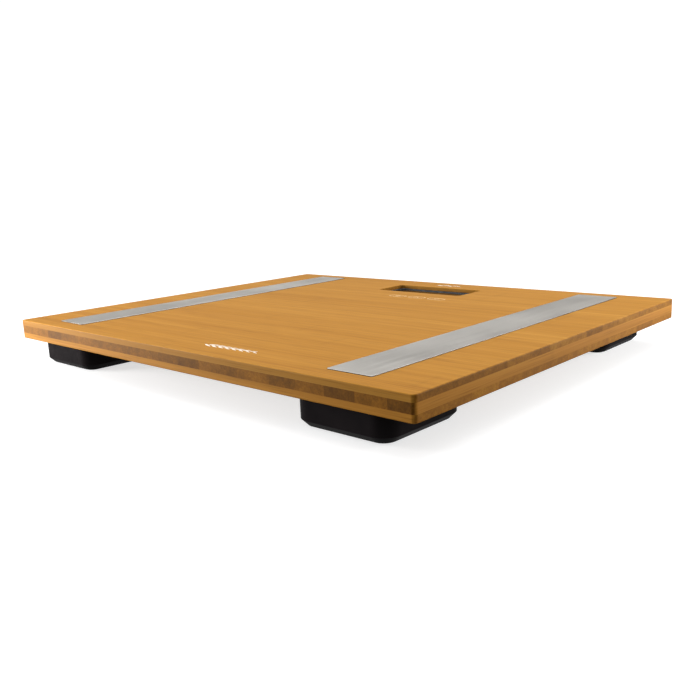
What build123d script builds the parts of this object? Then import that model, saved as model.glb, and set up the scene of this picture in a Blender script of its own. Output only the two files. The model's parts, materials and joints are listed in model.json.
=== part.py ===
from build123d import *
import math
import os

# Digital bathroom scale: bamboo platform, two electrode strips, display module and four load-cell feet.
# Millimetres. +Z is up, +X is the user's right, +Y points to the display edge.
# Origin: on the floor, under the centre of the platform.

# ---------------------------------------------------------------- driving dimensions
# platform
board_w = 320.0
board_d = 260.0
ply_top_t = 3.4
ply_core_t = 4.7
ply_bottom_t = 3.7
board_corner_r = 2.0
board_edge_ease = 0.6
foot_h = 14.8

# electrode strips
strip_w = 26.0
strip_t = 1.0
strip_inlay = 0.6
strip_side_gap = 30.5
strip_end_gap = 11.3
strip_corner_r = 1.2
strip_edge_ease = 0.2
strip_clear = 0.15
stud_r = 1.5
stud_board_gap = 7.0
stud_clear = 0.25
nut_flats = 5.5
nut_t = 2.2
nut_pocket_r = 4.7
nut_pocket_depth = 3.0
terminal_ring_r = 3.1
terminal_t = 0.6
terminal_hole_clear = 0.1
terminal_neck = 0.9
terminal_neck_gap = 0.4
terminal_barrel_r = 1.0
terminal_barrel_len = 5.6

# feet
foot_size = 54.5
foot_corner_r = 9.0
foot_side_inset = 17.3
foot_end_inset = 4.0
foot_chamfer = 3.2
foot_travel = 0.7
cup_stop_gap = 0.4
cup_wall = 2.0
cup_floor = 2.8
pad_t = 1.4
pad_proud = 0.5
pad_inset = 4.6
pad_clear = 0.15
post_r = 4.5
post_ease = 0.5
rib_t = 1.4
rib_h = 3.0
lug_reach = 2.6
lug_t = 1.3
lug_len = 9.0

# load cell and its bracket
bracket_plate_t = 2.4
bracket_clear = 0.8
screw_shelf = 6.65
cell_corner_r = 3.0
cell_t = 1.5
cell_clear = 0.3
cell_rim = 4.5
cell_side_slot = 3.0
cell_end_slot = 2.0
cell_beam_inset = 3.5
cell_ledge = 4.0
collar_wall = 1.5
collar_drop = 4.0
tab_len = 8.0
tab_reach = 1.2
tab_t = 1.3
tab_clear = 0.2
hook_arm_t = 1.8
hook_w = 10.0
hook_tip_t = 1.2
hook_tip_clear = 0.3
hook_reach_clear = 0.85
gauge_len = 8.0
gauge_w = 6.0
gauge_t = 1.8
gauge_corner_r = 2.0
gauge_ease = 0.6

# wood screws of the brackets and the housing
screw_r = 1.3
screw_head_r = 2.5
screw_head_t = 1.7
screw_slot_reach = 1.5
screw_slot_half = 0.3
screw_bite = 6.2
screw_clear = 0.15
thread_clear = 0.03
bracket_screw_half = 10.0

# leads, grooves and their covers
cell_lead_r = 0.8
electrode_lead_r = 0.65
battery_lead_r = 0.6
groove_w = 2.6
groove_depth = 2.2
lead_z_in_groove = 1.1
front_lead_gap = 4.2
lead_bend_r = 15.0
lead_lie = 0.3
lead_rise_run = 7.0
lead_flat_run = 5.0
groove_lead_in = 1.5
cover_w = 6.0
cover_t = 0.5
cover_cap_r = 6.5
cover_clear = 0.8

# display window
window_w = 71.0
window_d = 28.0
window_back_gap = 21.0
window_corner_r = 3.0
window_rim_ease = 0.5
window_recess = 2.5
bezel_flange = 2.5
bezel_clear = 0.3
bezel_ledge = 2.5
bezel_rim_t = 0.6
bezel_boss_clear = 0.2
bezel_h = 4.5
bezel_rim_ease = 0.3
lens_inset = 1.8
lens_t = 1.5
lens_clear = 0.3
gasket_t = 0.4
gasket_band = 2.2
lcd_side_inset = 2.2
lcd_end_inset = 1.8
lcd_t = 2.2
lcd_wall = 1.7
lcd_clear = 0.2
lcd_corner_r = 0.3
zebra_w = 1.6
backlight_gap = 0.4
backlight_side_gap = 0.6
backlight_corner_r = 0.5

# circuit boards
pcb_side_margin = 7.6
pcb_back_margin = 5.7
pcb_bay_gap = 2.2
pcb_t = 1.6
pcb_drop = 0.3
pcb_corner_r = 1.5
pcb_screw_inset = 3.5
pcb_screw_front_inset = 7.0
pcb_screw_r = 1.1
pcb_screw_head_r = 2.0
pcb_screw_head_t = 1.3
pcb_screw_len = 5.5
pcb_post_r = 3.0
lead_pad_inset = 3.0
electrode_pad_inset = 2.5
electrode_bend_r = 4.0
lead_drop_start = 8.0
lead_drop_end = 3.5
touch_x = 14.0
touch_window_gap = 32.6
touch_w = 56.0
touch_d = 14.0
touch_t = 0.8
touch_corner_r = 1.0
touch_pocket_clear = 1.5
header_pins = 5
header_pitch = 2.54
header_base_h = 2.5
header_pin_half = 0.32

# module housing
housing_side_gap = 5.2
housing_front_gap = 5.4
housing_back_gap = 3.2
housing_bottom = 4.2
housing_wall = 1.8
housing_floor_t = 2.4
housing_corner_r = 6.0
housing_chamfer = 1.0
cell_roof_clear = 0.3
ear_len = 8.0
ear_w = 12.0
ear_t = 2.5
ear_cover_gap = 1.0
ear_back_inset = 7.0
ear_root_r = 3.0

# battery bay, door and cells
cell_aaa_len = 44.5
cell_aaa_r = 5.25
cell_nub_len = 0.8
cell_nub_r = 1.9
cell_sleeve_ease = 0.4
contact_space = 3.0
contact_t = 0.4
contact_w = 7.0
contact_rest_gap = 0.1
contact_tab_half = 2.0
leaf_drop = 3.7
leaf_rise = 2.6
leaf_return = 0.8
bay_window_gap = 52.5
bay_side_clear = 0.3
cell_gap = 0.6
bay_wall = 1.2
bay_wall_drop = 0.3
door_lip_t = 0.9
door_tongue_h = 0.5
door_tongue_reach = 1.2
door_clear = 0.25
door_grip_count = 5
door_grip_start = 4.0
door_grip_w = 0.8
door_grip_depth = 0.4
door_grip_len = 22.0
battery_lift = 0.35
battery_lead_wall_gap = 1.15
battery_lead_pitch = 2.2

# unit button and its switch
button_x = 20.0
button_window_gap = 23.0
button_r = 3.2
button_clear = 0.3
button_flange_r = 4.3
button_flange_t = 1.0
button_stem_r = 1.2
button_dish = 0.4
button_rim = 1.0
switch_w = 6.0
switch_body_h = 3.5
plunger_r = 1.7
plunger_h = 1.2
plunger_inside = 2.2
switch_roof = 1.0

# parts under the circuit board: places measured from the window's centre
potting_at = (-14.0, -3.0)
potting_r = 6.0
potting_h = 1.5
potting_ease = 1.2
chip_at = (5.0, -2.0)
chip_w = 6.0
chip_d = 10.0
chip_h = 1.6
capacitor_at = (26.0, -3.0)
capacitor_r = 2.5
capacitor_h = 5.0
crystal_at = (-2.0, -19.0)
crystal_w = 8.0
crystal_d = 3.6
crystal_h = 3.0
crystal_corner_r = 1.6
resistor_count = 6
resistor_at = (-19.0, 9.6)
resistor_pitch = 4.0
resistor_w = 2.0
resistor_d = 1.2
resistor_h = 0.6

# ---------------------------------------------------------------- levels and centres worked out from them
z_under = foot_h
z_core = z_under + ply_bottom_t
z_ply_top = z_core + ply_core_t
z_top = z_ply_top + ply_top_t
z_groove = z_under + groove_depth
z_lead = z_under + lead_z_in_groove

foot_x = board_w / 2 - foot_side_inset - foot_size / 2
foot_y = board_d / 2 - foot_end_inset - foot_size / 2
strip_x = board_w / 2 - strip_side_gap - strip_w / 2
strip_len = board_d - 2 * strip_end_gap
strip_bottom = z_top - strip_inlay

cup_bottom = pad_proud
cup_top = z_under - foot_travel - cup_stop_gap
cup_inside = foot_size / 2 - cup_wall
cup_floor_top = cup_bottom + cup_floor
plate_bottom = z_under - bracket_plate_t
plate_half = cup_inside - bracket_clear
collar_outside = plate_half - screw_shelf
collar_inside = collar_outside - collar_wall
collar_bottom = plate_bottom - collar_drop
cell_size = 2 * (collar_inside - cell_clear)
cell_inner = cell_size / 2 - cell_rim
cell_tongue_w = 2 * (cell_inner - cell_side_slot)
cell_beam_w = cell_tongue_w - 2 * cell_beam_inset
cell_bottom = plate_bottom - cell_t
gauge_x = cell_inner - gauge_len / 2
groove_start_x = gauge_x - gauge_len / 2 - lead_flat_run + groove_lead_in
bracket_screw_y = (collar_outside + plate_half) / 2
hook_tip_x = cup_inside - hook_reach_clear
hook_arm_x = (collar_outside + cup_inside - lug_reach) / 2
lug_bottom = collar_bottom + hook_tip_t + hook_tip_clear

window_y = board_d / 2 - window_back_gap - window_d / 2
well_w = window_w + 2 * bezel_flange + 2 * bezel_clear
well_d = window_d + 2 * bezel_flange + 2 * bezel_clear
lens_w = window_w - 2 * lens_inset
lens_d = window_d - 2 * lens_inset
lcd_w = lens_w - 2 * lcd_side_inset
lcd_d = lens_d - 2 * lcd_end_inset
lcd_frame_w = lcd_w + 2 * lcd_clear + 2 * lcd_wall
lcd_frame_d = lcd_d + 2 * lcd_clear + 2 * lcd_wall
bezel_top = z_ply_top
bezel_bottom = bezel_top - bezel_h
boss_top = z_top - window_recess
lens_top = boss_top - bezel_rim_t
lens_bottom = lens_top - lens_t
lcd_top = lens_bottom - gasket_t
lcd_bottom = lcd_top - lcd_t
touch_y = window_y - touch_window_gap

bay_w = cell_aaa_len + 2 * contact_space
bay_d = 4 * cell_aaa_r + cell_gap + 2 * bay_side_clear
bay_center_y = window_y - bay_window_gap
bay_back_y = bay_center_y + bay_d / 2
bay_front_y = bay_center_y - bay_d / 2
door_top = housing_bottom + door_lip_t + door_clear + door_tongue_h
cell_axis_z = door_top + battery_lift + cell_aaa_r
cell_pitch = 2 * cell_aaa_r + cell_gap
z_pocket = cell_axis_z + cell_aaa_r + cell_roof_clear
battery_lead_x_near = bay_w / 2 + bay_wall + battery_lead_wall_gap
battery_lead_x_far = battery_lead_x_near + battery_lead_pitch
front_lead_x = battery_lead_x_far + front_lead_gap

pcb_top = z_under - pcb_drop
pcb_bottom = pcb_top - pcb_t
pcb_w = lcd_frame_w + 2 * pcb_side_margin
pcb_front_y = bay_back_y + bay_wall + pcb_bay_gap
pcb_back_y = window_y + lcd_frame_d / 2 + pcb_back_margin
stud_y = pcb_front_y - stud_board_gap
pcb_screw_x = pcb_w / 2 - pcb_screw_inset
pcb_screw_front_y = pcb_front_y + pcb_screw_front_inset
pcb_screw_back_y = pcb_back_y - pcb_screw_inset
pad_x = pcb_w / 2 - lead_pad_inset
pad_y = pcb_front_y + lead_pad_inset

housing_w = pcb_w + 2 * housing_side_gap + 2 * housing_wall
housing_front_y = bay_front_y - housing_front_gap
housing_back_y = pcb_back_y + housing_back_gap + housing_wall
housing_mid_y = (housing_front_y + housing_back_y) / 2
housing_depth = housing_back_y - housing_front_y
housing_floor_top = housing_bottom + housing_floor_t
pocket_x = housing_w / 2 - housing_wall
ear_front_y = stud_y - cover_w / 2 - ear_cover_gap - ear_w / 2
ear_back_y = housing_back_y - ear_back_inset
button_y = window_y - button_window_gap
switch_bottom = pcb_bottom - switch_body_h

corners = {
    "front_left": (-1, -1),
    "front_right": (1, -1),
    "back_left": (-1, 1),
    "back_right": (1, 1),
}
sides = {"left": -1, "right": 1}


# ---------------------------------------------------------------- small builders
def block(x0, x1, y0, y1, z0, z1):
    """A box between two corners."""
    shape = extrude(Rectangle(x1 - x0, y1 - y0), amount=z1 - z0)
    return Pos((x0 + x1) / 2, (y0 + y1) / 2, z0) * shape


def slab(w, d, r, z0, z1, x=0.0, y=0.0):
    """A flat plate with rounded corners, centred on x, y."""
    return Pos(x, y, z0) * extrude(RectangleRounded(w, d, r), amount=z1 - z0)


def rod(r, z0, z1, x=0.0, y=0.0):
    """An upright round bar."""
    return Pos(x, y, z0) * extrude(Circle(r), amount=z1 - z0)


def edges_at(shape, z):
    """The edges that lie in the level plane z."""
    return shape.edges().filter_by_position(Axis.Z, z - 0.001, z + 0.001)


def mirrored(shape, sx):
    """The left-hand form of a shape drawn for the right (sx 1), and the shape itself otherwise."""
    return mirror(shape, about=Plane.YZ) if sx < 0 else shape


def turn_radii(points, longest=None):
    """For each corner, 0.45 of its shorter run over the tangent of half its turn, up to a stated limit."""
    radii = []
    for a, b, c in zip(points, points[1:], points[2:]):
        run_in = Vector(*b) - Vector(*a)
        run_out = Vector(*c) - Vector(*b)
        half_turn = math.radians(run_in.get_angle(run_out)) / 2
        radius = 0.45 * min(run_in.length, run_out.length) / math.tan(half_turn)
        radii.append(min(radius, longest) if longest else radius)
    return radii


def lead(points, r, longest=None):
    """A round lead along straight runs joined by tangent arcs. Prints how its volume compares."""
    radii = turn_radii(points, longest)
    if radii:
        path = FilletPolyline(*points, radius=radii)
    else:
        path = Line(*points)
    tube = sweep(Plane(origin=path @ 0, z_dir=path % 0) * Circle(r), path=path)
    share = tube.volume / (math.pi * r * r * path.length)
    print(f"lead: length {path.length:.1f}, radii {[round(q, 1) for q in radii]}, volume share {share:.4f}")
    return tube


def band(points, width, z0, z1, bend=None):
    """A flat band of a given width along a level route."""
    if len(points) > 2:
        line = FilletPolyline(*points, radius=bend)
    else:
        line = Line(*points)
    return Pos(0, 0, z0) * extrude(trace(line, line_width=width), amount=z1 - z0)


# ---------------------------------------------------------------- routes shared by grooves, covers and leads
def cell_route(sx, sy):
    """Level route of a load-cell lead, from where it rises into its groove to the module pocket."""
    start = (sx * (foot_x + groove_start_x), sy * foot_y)
    if sy > 0:
        return [start, (sx * pocket_x, sy * foot_y)]
    return [start, (sx * front_lead_x, sy * foot_y), (sx * front_lead_x, housing_front_y + housing_wall)]


def electrode_route(sx):
    """Level route of an electrode lead, from the stud into the module pocket."""
    return [(sx * strip_x, stud_y), (sx * pocket_x, stud_y)]


def cover_route(route, start_gap, end_gap):
    """The same route with its two ends drawn in."""
    first = Vector(*route[1]) - Vector(*route[0])
    last = Vector(*route[-2]) - Vector(*route[-1])
    start = Vector(*route[0]) + first.normalized() * start_gap
    end = Vector(*route[-1]) + last.normalized() * end_gap
    return [(start.X, start.Y)] + list(route[1:-1]) + [(end.X, end.Y)]


def bracket_screw_places(sx, sy):
    """Where one foot bracket is screwed to the platform."""
    return [
        (sx * foot_x + i * bracket_screw_half, sy * foot_y + j * bracket_screw_y)
        for i in (-1, 1)
        for j in (-1, 1)
    ]


def ear_places():
    """Where the module housing is screwed to the platform."""
    x = housing_w / 2 + ear_len / 2
    return [(i * x, y) for i in (-1, 1) for y in (ear_front_y, ear_back_y)]


def pcb_screw_places():
    """The circuit board's four screws."""
    return [(i * pcb_screw_x, y) for i in (-1, 1) for y in (pcb_screw_front_y, pcb_screw_back_y)]


# ---------------------------------------------------------------- platform
def screw_pilots():
    """Pilot holes for every wood screw in the underside of the platform."""
    places = ear_places()
    for sx, sy in corners.values():
        places += bracket_screw_places(sx, sy)
    return [rod(screw_r + thread_clear, z_under, z_under + screw_bite, x, y) for x, y in places]


def stud_holes(z0, z1):
    """Clearance holes for the two electrode studs."""
    return [rod(stud_r + stud_clear, z0, z1, sx * strip_x, stud_y) for sx in sides.values()]


def module_pocket():
    """The shallow pocket over the module, deep enough for the tops of the cells."""
    w = housing_w - 2 * housing_wall
    d = housing_depth - 2 * housing_wall
    return slab(w, d, housing_corner_r - housing_wall, z_under, z_pocket, 0, housing_mid_y)


def display_well(z0, z1):
    """The opening that the display bezel fills, and the one over the touch key board."""
    well = slab(well_w, well_d, window_corner_r + bezel_flange, z0, z1, 0, window_y)
    touch_well_w = touch_w + 2 * touch_pocket_clear
    touch_well_d = touch_d + 2 * touch_pocket_clear
    return [well, slab(touch_well_w, touch_well_d, touch_pocket_clear, z0, z1, touch_x, touch_y)]


def top_ply():
    ply = slab(board_w, board_d, board_corner_r, z_ply_top, z_top)
    ply = fillet(edges_at(ply, z_top), board_edge_ease)
    window = slab(window_w, window_d, window_corner_r, z_ply_top, z_top, 0, window_y)
    ply -= window
    rim = edges_at(ply, z_top).filter_by(
        lambda e: abs(e.center().X) < window_w / 2 + 1 and abs(e.center().Y - window_y) < window_d / 2 + 1
    )
    ply = fillet(rim, window_rim_ease)
    for sx in sides.values():
        w = strip_w + 2 * strip_clear
        d = strip_len + 2 * strip_clear
        ply -= slab(w, d, strip_corner_r + strip_clear, strip_bottom, z_top, sx * strip_x, 0)
    return ply - stud_holes(z_ply_top, z_top)


def core_ply():
    ply = slab(board_w, board_d, board_corner_r, z_core, z_ply_top)
    ply -= display_well(z_core, z_ply_top) + stud_holes(z_core, z_ply_top) + screw_pilots()
    return ply - module_pocket() if z_pocket > z_core else ply


def bottom_ply():
    ply = slab(board_w, board_d, board_corner_r, z_under, z_core)
    ply = fillet(edges_at(ply, z_under), board_edge_ease)
    ply -= module_pocket()
    for sx, sy in corners.values():
        route = cell_route(sx, sy)
        ply -= band(route, groove_w, z_under, z_groove, lead_bend_r)
    for sx in sides.values():
        ply -= band(electrode_route(sx), groove_w, z_under, z_groove)
        ply -= rod(nut_pocket_r, z_under, z_under + nut_pocket_depth, sx * strip_x, stud_y)
    return ply - display_well(z_under, z_core) - stud_holes(z_under, z_core) - screw_pilots()


# ---------------------------------------------------------------- electrodes
def electrode(sx):
    """One stainless strip with its welded stud."""
    strip = slab(strip_w, strip_len, strip_corner_r, strip_bottom, strip_bottom + strip_t)
    strip = fillet(edges_at(strip, strip_bottom + strip_t), strip_edge_ease)
    stud_end = z_under + nut_pocket_depth - terminal_t - nut_t
    stud = rod(stud_r, stud_end, strip_bottom, 0, stud_y)
    return Pos(sx * strip_x, 0, 0) * (strip + stud)


def electrode_nut(sx):
    top = z_under + nut_pocket_depth - terminal_t
    body = extrude(RegularPolygon(nut_flats / 2, 6, major_radius=False), amount=nut_t)
    nut = Pos(sx * strip_x, stud_y, top - nut_t) * body
    return nut - rod(stud_r + thread_clear, top - nut_t, top, sx * strip_x, stud_y)


def electrode_terminal(sx):
    """Ring terminal: a flat ring under the platform's pocket, a neck and a crimp barrel in the groove."""
    top = z_under + nut_pocket_depth
    ring = rod(terminal_ring_r, top - terminal_t, top)
    neck_x = terminal_ring_r + terminal_neck_gap
    half = terminal_barrel_r
    tongue = block(0, neck_x + terminal_neck, -half, half, top - terminal_t, top)
    neck = block(neck_x, neck_x + terminal_neck, -half, half, z_lead, top)
    barrel = Pos(neck_x, 0, z_lead) * Rot(0, 90, 0) * extrude(Circle(terminal_barrel_r), terminal_barrel_len)
    shape = ring + tongue + neck + barrel
    shape -= rod(stud_r + terminal_hole_clear, top - terminal_t, top)
    facing = shape if sx < 0 else mirror(shape, about=Plane.YZ)
    return Pos(sx * strip_x, stud_y, 0) * facing


def electrode_lead(sx):
    """From the crimp barrel along the groove, and round to a pad on the circuit board's front corner."""
    start = strip_x - terminal_ring_r - terminal_neck_gap - terminal_barrel_len
    x = pcb_w / 2 - electrode_pad_inset
    z_end = pcb_top + electrode_lead_r
    points = [
        (sx * start, stud_y, z_lead),
        (sx * x, stud_y, z_lead),
        (sx * x, pcb_front_y - electrode_lead_r, z_end),
        (sx * x, pad_y, z_end),
    ]
    return lead(points, electrode_lead_r, electrode_bend_r)


# ---------------------------------------------------------------- feet
def foot_cup(sx, sy):
    """The moving cup: chamfered shell, a post under the load cell, four ribs and two retaining lugs."""
    inner = 2 * cup_inside
    cup = slab(foot_size, foot_size, foot_corner_r, cup_bottom, cup_top)
    cup = chamfer(edges_at(cup, cup_bottom), foot_chamfer)
    cup -= slab(inner, inner, foot_corner_r - cup_wall, cup_floor_top, cup_top)
    for turned in (0, 90):
        rib = block(-cup_inside, cup_inside, -rib_t / 2, rib_t / 2, cup_floor_top, cup_floor_top + rib_h)
        cup += Rot(0, 0, turned) * rib
    post = rod(post_r, cup_floor_top, cell_bottom)
    cup += chamfer(edges_at(post, cell_bottom), post_ease)
    for side in (-1, 1):
        x0, x1 = sorted((side * (cup_inside - lug_reach), side * (cup_inside + cup_wall / 2)))
        cup += block(x0, x1, -lug_len / 2, lug_len / 2, lug_bottom, lug_bottom + lug_t)
    recess = pad_t - pad_proud
    size = foot_size - 2 * pad_inset + 2 * pad_clear
    cup -= slab(size, size, foot_corner_r - pad_inset + pad_clear, cup_bottom, cup_bottom + recess)
    return Pos(sx * foot_x, sy * foot_y, 0) * cup


def foot_pad(sx, sy):
    """Non-slip pad glued into the cup's recess."""
    size = foot_size - 2 * pad_inset
    pad = slab(size, size, foot_corner_r - pad_inset, 0, pad_t)
    pad = fillet(edges_at(pad, 0), pad_proud / 2)
    return Pos(sx * foot_x, sy * foot_y, 0) * pad


def foot_bracket(sx, sy):
    """Plate screwed to the platform, with a collar round the load cell, cell tabs and cup hooks."""
    plate = slab(2 * plate_half, 2 * plate_half, foot_corner_r - cup_wall, plate_bottom, z_under)
    opening = cell_size - 2 * cell_ledge
    plate -= slab(opening, opening, cell_corner_r, plate_bottom, z_under)
    outside = 2 * collar_outside
    inside = 2 * collar_inside
    collar = slab(outside, outside, cell_corner_r + collar_wall, collar_bottom, plate_bottom)
    collar -= slab(inside, inside, cell_corner_r, collar_bottom, plate_bottom)
    body = plate + collar
    tab_top = cell_bottom - tab_clear
    for side in (-1, 1):
        y0, y1 = sorted((side * (collar_inside - tab_reach), side * (collar_inside + collar_wall / 2)))
        body += block(-tab_len / 2, tab_len / 2, y0, y1, tab_top - tab_t, tab_top)
        arm0, arm1 = sorted((side * (hook_arm_x - hook_arm_t / 2), side * (hook_arm_x + hook_arm_t / 2)))
        tip0, tip1 = sorted((side * hook_arm_x, side * hook_tip_x))
        body += block(arm0, arm1, -hook_w / 2, hook_w / 2, collar_bottom, plate_bottom)
        body += block(tip0, tip1, -hook_w / 2, hook_w / 2, collar_bottom, collar_bottom + hook_tip_t)
    for i in (-1, 1):
        for j in (-1, 1):
            x, y = i * bracket_screw_half, j * bracket_screw_y
            body -= rod(screw_r + screw_clear, plate_bottom, z_under, x, y)
    return Pos(sx * foot_x, sy * foot_y, 0) * body


def load_cell(sx, sy):
    """Stamped steel plate: a rim, and a tongue that hangs from one side of it by a short beam."""
    inner = cell_inner
    plate = slab(cell_size, cell_size, cell_corner_r, cell_bottom, plate_bottom)
    plate -= block(-inner, inner, -inner, inner, cell_bottom, plate_bottom)
    tongue_end = inner - cell_end_slot
    tongue = cell_tongue_w / 2
    beam = cell_beam_w / 2
    plate += block(-tongue_end, tongue_end, -tongue, tongue, cell_bottom, plate_bottom)
    plate += block(tongue_end, inner + cell_rim / 2, -beam, beam, cell_bottom, plate_bottom)
    return Pos(sx * foot_x, sy * foot_y, 0) * mirrored(plate, sx)


def strain_gauge(sx, sy):
    """The potting over a load cell's strain gauge and solder pads."""
    top = plate_bottom + gauge_t
    blob = slab(gauge_len, gauge_w, gauge_corner_r, plate_bottom, top)
    blob = fillet(edges_at(blob, top), gauge_ease)
    return Pos(sx * (foot_x + gauge_x), sy * foot_y, 0) * blob


def cell_lead(sx, sy):
    """From the gauge, up into the groove, and along it to a pad on the circuit board."""
    z_start = plate_bottom + lead_lie + cell_lead_r
    z_end = pcb_top + cell_lead_r
    start = foot_x + gauge_x - gauge_len / 2
    x1 = start - lead_flat_run
    x2 = x1 - lead_rise_run
    y = sy * foot_y
    points = [(sx * start, y, z_start), (sx * x1, y, z_start), (sx * x2, y, z_lead)]
    if sy > 0:
        points += [
            (sx * (pad_x + lead_drop_start), y, z_lead),
            (sx * (pad_x + lead_drop_end), y, z_end),
            (sx * pad_x, y, z_end),
        ]
    else:
        points += [
            (sx * front_lead_x, y, z_lead),
            (sx * front_lead_x, pad_y - lead_drop_start, z_lead),
            (sx * front_lead_x, pad_y - lead_drop_end, z_end),
            (sx * front_lead_x, pad_y, z_end),
        ]
    return lead(points, cell_lead_r, lead_bend_r)


def wood_screw(x, y, seat):
    """Pan-head wood screw driven up into the platform from a seat level."""
    head = rod(screw_head_r, seat - screw_head_t, seat, x, y)
    head = fillet(edges_at(head, seat - screw_head_t), screw_head_t / 2)
    reach = screw_slot_reach
    half = screw_slot_half
    for turned in (0, 90):
        bar = block(-reach, reach, -half, half, seat - screw_head_t, seat - screw_head_t / 2)
        head -= Pos(x, y, 0) * Rot(0, 0, turned) * bar
    return head + rod(screw_r, seat, z_under + screw_bite, x, y)


def cable_cover(sx, sy):
    """Thin strip over a load-cell lead's groove, between the foot and the housing."""
    start = groove_start_x + foot_size / 2 + cover_clear
    route = cover_route(cell_route(sx, sy), start, housing_wall + cover_clear)
    return band(route, cover_w, z_under - cover_t, z_under, lead_bend_r)


def electrode_cover(sx):
    """Thin strip over an electrode lead's groove, with a round cap over the nut pocket."""
    route = cover_route(electrode_route(sx), 0, housing_wall + cover_clear)
    strip = band(route, cover_w, z_under - cover_t, z_under)
    return strip + rod(cover_cap_r, z_under - cover_t, z_under, sx * strip_x, stud_y)


# ---------------------------------------------------------------- display
def display_bezel():
    """Black frame: a flange that fills the well, and a boss in the window with a lip over the lens."""
    w = well_w - 2 * bezel_clear
    d = well_d - 2 * bezel_clear
    bezel = slab(w, d, window_corner_r + bezel_flange, bezel_bottom, bezel_top, 0, window_y)
    boss_w = window_w - 2 * bezel_boss_clear
    boss_d = window_d - 2 * bezel_boss_clear
    bezel += slab(boss_w, boss_d, window_corner_r - bezel_boss_clear, bezel_top, boss_top, 0, window_y)
    half_w = window_w / 2 - bezel_ledge
    half_d = window_d / 2 - bezel_ledge
    bezel -= slab(2 * half_w, 2 * half_d, window_corner_r, bezel_bottom, boss_top, 0, window_y)
    rim = edges_at(bezel, boss_top).filter_by(
        lambda e: abs(e.center().X) < half_w + bezel_rim_ease
        and abs(e.center().Y - window_y) < half_d + bezel_rim_ease
    )
    bezel = chamfer(rim, bezel_rim_ease)
    seat_w = lens_w + 2 * lens_clear
    seat_d = lens_d + 2 * lens_clear
    return bezel - slab(seat_w, seat_d, window_corner_r, bezel_bottom, lens_top, 0, window_y)


def display_lens():
    return slab(lens_w, lens_d, window_corner_r, lens_bottom, lens_top, 0, window_y)


def lens_gasket():
    ring = slab(lens_w, lens_d, window_corner_r, lcd_top, lens_bottom, 0, window_y)
    w = lens_w - 2 * gasket_band
    d = lens_d - 2 * gasket_band
    return ring - slab(w, d, window_corner_r / 2, lcd_top, lens_bottom, 0, window_y)


def lcd_frame():
    """White holder round the glass, standing on the circuit board."""
    inner_w = lcd_w + 2 * lcd_clear
    inner_d = lcd_d + 2 * lcd_clear
    frame = slab(lcd_frame_w, lcd_frame_d, lcd_wall, pcb_top, lcd_top, 0, window_y)
    return frame - slab(inner_w, inner_d, lcd_clear, pcb_top, lcd_top, 0, window_y)


def lcd_glass():
    """Two glass plates: the lower one is wider, for the contact rows."""
    half = lcd_t / 2
    upper_d = lcd_d - 2 * zebra_w
    lower = slab(lcd_w, lcd_d, lcd_corner_r, lcd_bottom, lcd_bottom + half, 0, window_y)
    upper = slab(lcd_w, upper_d, lcd_corner_r, lcd_bottom + half, lcd_top, 0, window_y)
    return lower + upper


def backlight():
    """Light-guide panel between the two zebra strips."""
    w = lcd_w - 2 * backlight_side_gap
    d = lcd_d - 4 * zebra_w - 2 * backlight_gap
    z0 = pcb_top + backlight_gap / 2
    return slab(w, d, backlight_corner_r, z0, lcd_bottom - backlight_gap / 2, 0, window_y)


def zebra_strip(side):
    """Elastomer contact strip between the circuit board and the glass."""
    y = window_y + side * (lcd_d / 2 - zebra_w)
    w = lcd_w - 2 * zebra_w
    return block(-w / 2, w / 2, y - zebra_w / 2, y + zebra_w / 2, pcb_top, lcd_bottom)


def main_board():
    depth = pcb_back_y - pcb_front_y
    board = slab(pcb_w, depth, pcb_corner_r, pcb_bottom, pcb_top, 0, (pcb_front_y + pcb_back_y) / 2)
    return board - [rod(pcb_screw_r + screw_clear, pcb_bottom, pcb_top, x, y) for x, y in pcb_screw_places()]


def below_board(w, d, h, at, step=0.0):
    """A component of a given size under the main board, placed from the window's centre."""
    x, y = at[0] + step, window_y + at[1]
    return block(x - w / 2, x + w / 2, y - d / 2, y + d / 2, pcb_bottom - h, pcb_bottom)


def board_parts():
    """Chip potting, measuring chip, capacitor, crystal and a row of resistors under the main board."""
    potting_bottom = pcb_bottom - potting_h
    potting = rod(potting_r, potting_bottom, pcb_bottom, potting_at[0], window_y + potting_at[1])
    potting = fillet(edges_at(potting, potting_bottom), potting_ease)
    chip = below_board(chip_w, chip_d, chip_h, chip_at)
    can_y = window_y + capacitor_at[1]
    can = rod(capacitor_r, pcb_bottom - capacitor_h, pcb_bottom, capacitor_at[0], can_y)
    crystal = below_board(crystal_w, crystal_d, crystal_h, crystal_at)
    crystal = fillet(crystal.edges().filter_by(Axis.Z), crystal_corner_r)
    row = [
        below_board(resistor_w, resistor_d, resistor_h, resistor_at, i * resistor_pitch)
        for i in range(resistor_count)
    ]
    return [potting, chip, can, crystal] + row


def touch_board():
    """Capacitive key board pressed against the underside of the top ply."""
    return slab(touch_w, touch_d, touch_corner_r, z_ply_top - touch_t, z_ply_top, touch_x, touch_y)


def touch_header():
    """Pin header that joins the touch key board to the main board."""
    length = header_pins * header_pitch
    width = header_pitch
    base = block(-length / 2, length / 2, -width / 2, width / 2, pcb_top, pcb_top + header_base_h)
    for i in range(header_pins):
        x = (i - (header_pins - 1) / 2) * header_pitch
        half = header_pin_half
        base += block(x - half, x + half, -half, half, pcb_top, z_ply_top - touch_t)
    return Pos(touch_x, touch_y, 0) * base


# ---------------------------------------------------------------- module housing
def door_opening():
    """What the sliding door needs cut out of the housing floor: the door's own path and two side grooves."""
    half = bay_w / 2
    y0 = housing_front_y
    y1 = bay_back_y
    cut = block(-half, half, y0, y1, housing_bottom, housing_floor_top)
    slot_z0 = housing_bottom + door_lip_t
    slot_z1 = slot_z0 + door_tongue_h + 2 * door_clear
    slot = half + door_tongue_reach + door_clear
    return cut + block(-slot, slot, y0, y1, slot_z0, slot_z1)


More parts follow.
